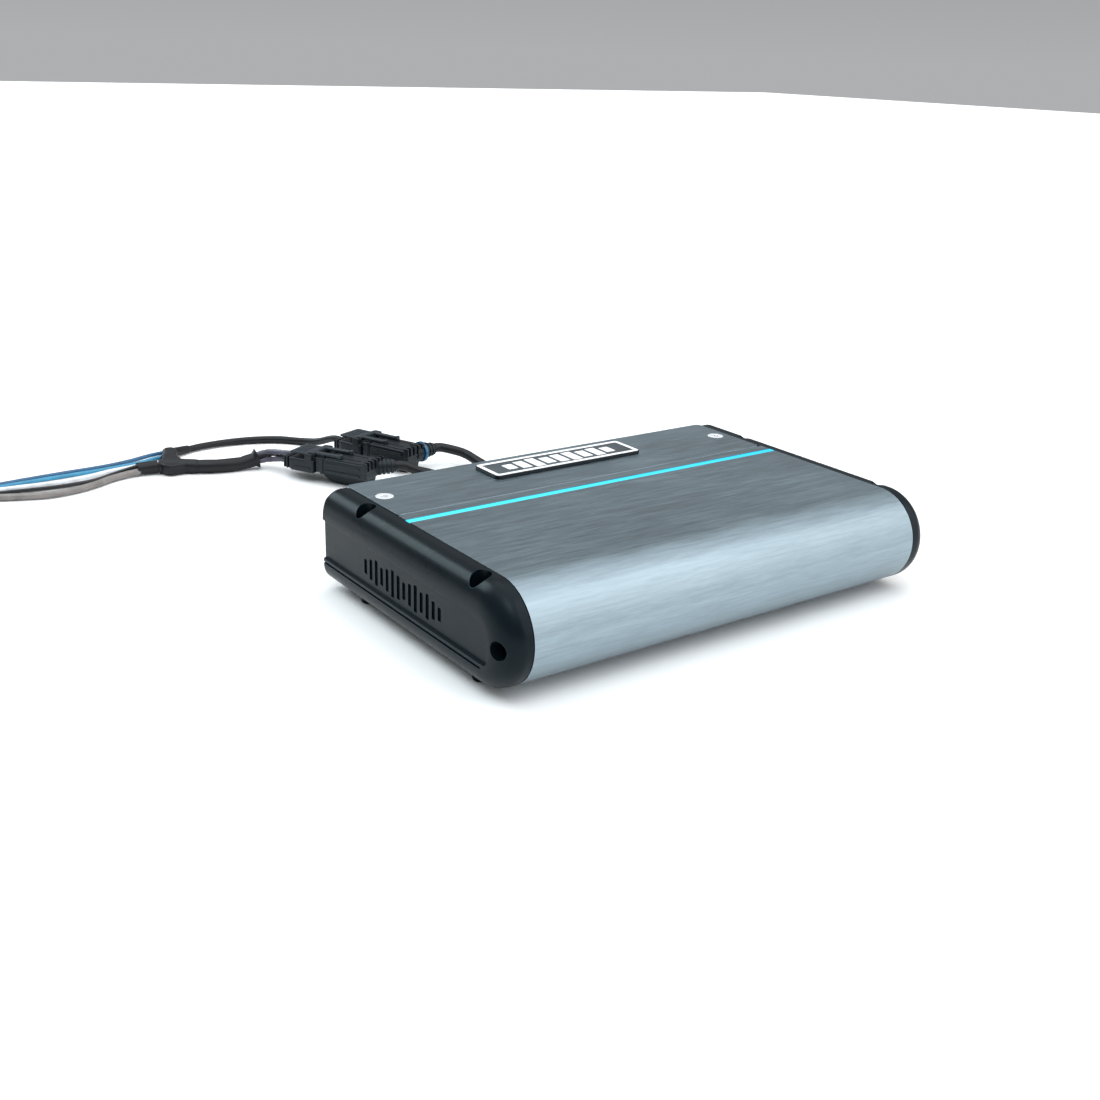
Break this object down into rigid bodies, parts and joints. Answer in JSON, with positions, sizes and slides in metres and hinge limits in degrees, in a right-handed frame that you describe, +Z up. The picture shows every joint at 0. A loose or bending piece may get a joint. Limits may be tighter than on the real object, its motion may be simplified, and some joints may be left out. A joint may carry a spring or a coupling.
{
  "type": "car amplifier",
  "caption": "Compact sealed car amplifier with a bullnose aluminium case, moulded end caps, a light strip, controls under a screwed cover, and a rear harness with sealed connectors.",
  "frame": {"origin": "middle of the case's footprint, on the plane that the rubber feet stand on", "axes": "+X along the case towards the right end cap, +Y towards the rear and the harness, +Z up; the bullnose looks along -Y"},
  "size_m": [0.5254, 0.4557, 0.0581],
  "materials": {
    "brushed_aluminium": "fine lengthwise brushing, clear anodised with a cool grey tone",
    "cap_plastic": "moulded charcoal plastic with a satin sheen",
    "base_paint": "satin black powder coat",
    "rubber": "soft matt black rubber",
    "badge_metal": "dark grey field in a bright rim on black",
    "light_pipe": "translucent acrylic, lit cyan from below",
    "circuit_board": "green solder mask",
    "black_plastic": "fine-grained black plastic",
    "connector_plastic": "glass-filled black nylon",
    "ferrite": "enamelled copper winding over a ferrite core",
    "capacitor_sleeve": "shrunk dark blue sleeve",
    "zinc_steel": "bright zinc plate",
    "cable_sheath": "matt black shrunk sheath",
    "blue_wire": "glossy PVC insulation",
    "white_wire": "glossy PVC insulation",
    "grey_wire": "glossy PVC insulation",
    "black_wire": "glossy PVC insulation"
  },
  "bodies": {
    "chassis": {"back_cable_gland": "black_plastic", "back_connector_header": "connector_plastic", "back_connector_plug": "connector_plastic", "back_pigtail": "cable_sheath", "base_plate": "base_paint", "black_wire": "black_wire", "blue_wire_front": "blue_wire", "blue_wire_rear": "blue_wire", "connector_leads": "cable_sheath", "control_board": "circuit_board", "control_well": "black_plastic", "cover_gasket": "rubber", "filter_capacitor_left": "capacitor_sleeve", "filter_capacitor_right": "capacitor_sleeve", "front_cable_gland": "black_plastic", "front_connector_header": "connector_plastic", "front_connector_plug": "connector_plastic", "front_left_base_screw": "zinc_steel", "front_left_foot": "rubber", "front_pigtail": "cable_sheath", "front_right_base_screw": "zinc_steel", "front_right_foot": "rubber", "grey_wire": "grey_wire", "heat_sink_shell": "brushed_aluminium", "led_board": "circuit_board", "led_light_pipe": "light_pipe", "left_cap_screw": "zinc_steel", "left_end_cap": "cap_plastic", "loom_boot": "cable_sheath", "lower_loom": "cable_sheath", "main_board": "circuit_board", "output_inductor": "ferrite", "power_transformer_left": "ferrite", "power_transformer_right": "ferrite", "power_transistor_1": "black_plastic", "power_transistor_2": "black_plastic", "power_transistor_3": "black_plastic", "rear_left_base_screw": "zinc_steel", "rear_left_foot": "rubber", "rear_right_base_screw": "zinc_steel", "rear_right_foot": "rubber", "right_cap_screw": "zinc_steel", "right_end_cap": "cap_plastic", "tail_loom": "cable_sheath", "transistor_clamp": "zinc_steel", "upper_loom": "cable_sheath", "white_wire": "white_wire", "wire_coil": "blue_wire"},
    "cover": {"access_cover": "brushed_aluminium", "badge_plate": "badge_metal"},
    "left_cover_screw": {"left_cover_screw": "zinc_steel"},
    "right_cover_screw": {"right_cover_screw": "zinc_steel"},
    "gain_knob": {"gain_knob": "black_plastic"},
    "crossover_knob": {"crossover_knob": "black_plastic"},
    "bass_knob": {"bass_knob": "black_plastic"},
    "input_switch": {"input_switch": "black_plastic"},
    "filter_switch": {"filter_switch": "black_plastic"},
    "back_latch": {"back_connector_latch": "connector_plastic"},
    "front_latch": {"front_connector_latch": "connector_plastic"}
  },
  "joints": [
    {"name": "cover_lift", "type": "slide", "parent": "chassis", "child": "cover", "axis": [0, 0, 1], "range_m": [0, 0.06]},
    {"name": "left_cover_screw_turn", "type": "hinge", "parent": "cover", "child": "left_cover_screw", "pos_m": [-0.1165, 0.062, 0.056], "axis": [0, 0, 1], "continuous": true},
    {"name": "right_cover_screw_turn", "type": "hinge", "parent": "cover", "child": "right_cover_screw", "pos_m": [0.1165, 0.062, 0.056], "axis": [0, 0, 1], "continuous": true},
    {"name": "gain_knob_turn", "type": "hinge", "parent": "chassis", "child": "gain_knob", "pos_m": [-0.062, 0.06, 0.0485], "axis": [0, 0, 1], "range_deg": [-140, 140]},
    {"name": "crossover_knob_turn", "type": "hinge", "parent": "chassis", "child": "crossover_knob", "pos_m": [-0.02, 0.06, 0.0485], "axis": [0, 0, 1], "range_deg": [-140, 140]},
    {"name": "bass_knob_turn", "type": "hinge", "parent": "chassis", "child": "bass_knob", "pos_m": [0.022, 0.06, 0.0485], "axis": [0, 0, 1], "range_deg": [-140, 140]},
    {"name": "input_switch_slide", "type": "slide", "parent": "chassis", "child": "input_switch", "axis": [1, 0, 0], "range_m": [-0.003, 0.003]},
    {"name": "filter_switch_slide", "type": "slide", "parent": "chassis", "child": "filter_switch", "axis": [1, 0, 0], "range_m": [-0.003, 0.003]},
    {"name": "back_latch_press", "type": "hinge", "parent": "chassis", "child": "back_latch", "pos_m": [-0.00865, 0.28135, 0.0185], "axis": [-0.9291, -0.3697, 0], "range_deg": [0, 7], "stiffness_Nm_per_rad": 0.03},
    {"name": "front_latch_press", "type": "hinge", "parent": "chassis", "child": "front_latch", "pos_m": [-0.05457, 0.26423, 0.0185], "axis": [-0.8771, -0.4802, 0], "range_deg": [0, 7], "stiffness_Nm_per_rad": 0.03}
  ]
}
